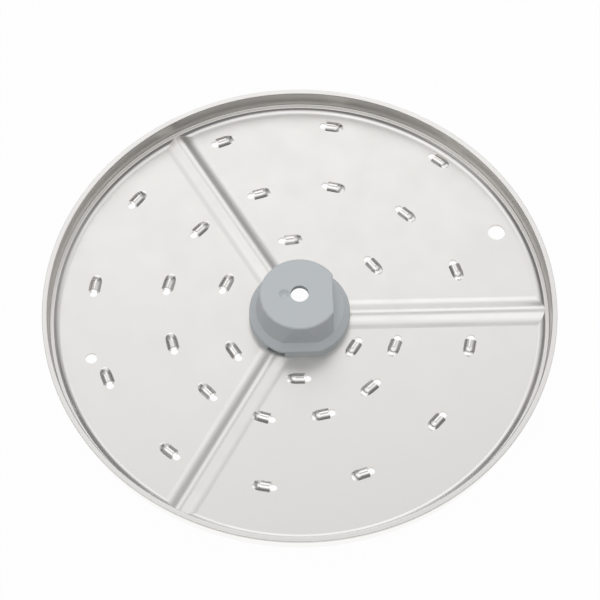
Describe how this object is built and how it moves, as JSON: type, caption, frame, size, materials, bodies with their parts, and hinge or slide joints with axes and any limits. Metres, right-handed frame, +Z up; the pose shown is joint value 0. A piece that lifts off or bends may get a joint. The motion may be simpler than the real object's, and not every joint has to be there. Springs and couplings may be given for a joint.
{
  "type": "food processor disc",
  "caption": "Round grating disc for a food processor: ribbed steel sheet with an upturned rim and a spiral of raised teeth, on a plastic hub with a keyed drive socket.",
  "frame": {"origin": "on the disc's axis, in the flat under the hub's collar that the disc rests on", "axes": "+Z up along the axis, out of the hub's top; +X along a rib, towards the flat on the boss"},
  "size_m": [0.191, 0.191, 0.021],
  "materials": {
    "steel": "satin",
    "hub_plastic": "matte"
  },
  "bodies": {
    "root": {"grating_disc": "steel", "hub": "hub_plastic"}
  },
  "joints": []
}
